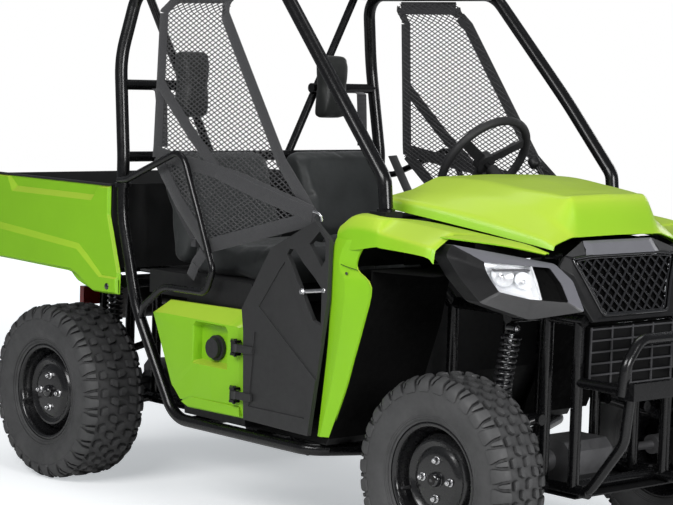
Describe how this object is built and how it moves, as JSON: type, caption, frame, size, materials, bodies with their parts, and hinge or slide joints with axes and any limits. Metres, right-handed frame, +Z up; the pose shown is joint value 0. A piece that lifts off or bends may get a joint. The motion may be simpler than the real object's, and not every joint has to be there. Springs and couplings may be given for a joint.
{
  "type": "side by side utility vehicle",
  "caption": "Open two-seat off-road utility vehicle with a tube cage, tilting cargo bed, steered front wheels, swing-out half doors and a lifting hood.",
  "frame": {"origin": "on the ground, on the centre plane, midway along the length, which is also midway between the axles", "axes": "+X forwards, +Y to the driver's left, +Z up"},
  "size_m": [2.68, 1.27, 1.721],
  "materials": {
    "frame_paint": "satin",
    "green_panel": "gloss",
    "black_plastic": "matte",
    "grey_panel": "satin",
    "seat_vinyl": "matte",
    "net_web": "matte",
    "tyre_rubber": "matte",
    "rim_paint": "satin",
    "lamp_clear": "gloss",
    "lamp_red": "gloss",
    "cast_metal": "satin",
    "bare_steel": "satin",
    "alloy": "satin",
    "grip_rubber": "matte"
  },
  "bodies": {
    "chassis": {"frame_sides": "frame_paint", "frame_bars": "frame_paint", "cage_right": "frame_paint", "cage_left": "frame_paint", "cage_bars": "frame_paint", "hip_guards": "frame_paint", "suspension_arms": "frame_paint", "rear_hubs": "cast_metal", "shocks": "bare_steel", "driveline": "alloy", "engine_block": "alloy", "muffler": "bare_steel", "floor_pan": "black_plastic", "skid_plate": "black_plastic", "seat_base": "black_plastic", "seat_cushions": "seat_vinyl", "seat_backs": "seat_vinyl", "headrests": "seat_vinyl", "dash": "black_plastic", "controls": "frame_paint", "side_panels": "green_panel", "fuel_cap": "black_plastic", "front_fenders": "green_panel", "fender_liners": "black_plastic", "headlight_bezels": "black_plastic", "headlights": "lamp_clear", "nose_panel": "grey_panel", "grille": "black_plastic", "radiator": "alloy", "front_bumper": "frame_paint", "side_nets": "net_web", "tail_lights": "lamp_red", "tow_hitch": "frame_paint", "hinges": "frame_paint"},
    "steering_wheel": {"steering_wheel": "grip_rubber"},
    "door_right": {"door_right": "black_plastic"},
    "door_left": {"door_left": "black_plastic"},
    "hood": {"hood": "green_panel"},
    "bed": {"bed_tub": "black_plastic", "bed_side_panels": "green_panel"},
    "tailgate": {"tailgate": "green_panel"},
    "knuckle_right": {"knuckle_right": "cast_metal"},
    "knuckle_left": {"knuckle_left": "cast_metal"},
    "wheel_front_right": {"tyre_front_right": "tyre_rubber", "rim_front_right": "rim_paint"},
    "wheel_front_left": {"tyre_front_left": "tyre_rubber", "rim_front_left": "rim_paint"},
    "wheel_rear_right": {"tyre_rear_right": "tyre_rubber", "rim_rear_right": "rim_paint"},
    "wheel_rear_left": {"tyre_rear_left": "tyre_rubber", "rim_rear_left": "rim_paint"}
  },
  "joints": [
    {"name": "steer_left", "type": "hinge", "parent": "chassis", "child": "knuckle_left", "pos_m": [0.9275, 0.462, 0.3], "axis": [0, 0, 1], "range_deg": [-27, 27]},
    {"name": "steer_right", "type": "hinge", "parent": "chassis", "child": "knuckle_right", "pos_m": [0.9275, -0.462, 0.3], "axis": [0, 0, 1], "range_deg": [-27, 27]},
    {"name": "steering_wheel_turn", "type": "hinge", "parent": "chassis", "child": "steering_wheel", "pos_m": [0.27, 0.27, 1.15], "axis": [-0.8192, 0, 0.5736], "range_deg": [-270, 270]},
    {"name": "spin_front_right", "type": "hinge", "parent": "knuckle_right", "child": "wheel_front_right", "pos_m": [0.9275, -0.5, 0.3], "axis": [0, 1, 0], "continuous": true},
    {"name": "spin_front_left", "type": "hinge", "parent": "knuckle_left", "child": "wheel_front_left", "pos_m": [0.9275, 0.5, 0.3], "axis": [0, 1, 0], "continuous": true},
    {"name": "spin_rear_right", "type": "hinge", "parent": "chassis", "child": "wheel_rear_right", "pos_m": [-0.9275, -0.515, 0.3], "axis": [0, 1, 0], "continuous": true},
    {"name": "spin_rear_left", "type": "hinge", "parent": "chassis", "child": "wheel_rear_left", "pos_m": [-0.9275, 0.515, 0.3], "axis": [0, 1, 0], "continuous": true},
    {"name": "door_right_swing", "type": "hinge", "parent": "chassis", "child": "door_right", "pos_m": [0.096, -0.616, 0.504], "axis": [0, 0, -1], "range_deg": [0, 70]},
    {"name": "door_left_swing", "type": "hinge", "parent": "chassis", "child": "door_left", "pos_m": [0.096, 0.616, 0.504], "axis": [0, 0, 1], "range_deg": [0, 70]},
    {"name": "hood_lift", "type": "hinge", "parent": "chassis", "child": "hood", "pos_m": [1.064, 0, 0.93], "axis": [0, 1, 0], "range_deg": [0, 50]},
    {"name": "bed_tilt", "type": "hinge", "parent": "chassis", "child": "bed", "pos_m": [-1.172, 0, 0.7393], "axis": [0, -1, 0], "range_deg": [0, 40]},
    {"name": "tailgate_drop", "type": "hinge", "parent": "bed", "child": "tailgate", "pos_m": [-1.331, 0, 0.765], "axis": [0, -1, 0], "range_deg": [0, 90]}
  ],
  "couplings": [
    {"joint": "steer_right", "follows": "steer_left", "ratio": 1},
    {"joint": "steering_wheel_turn", "follows": "steer_left", "ratio": 10}
  ]
}
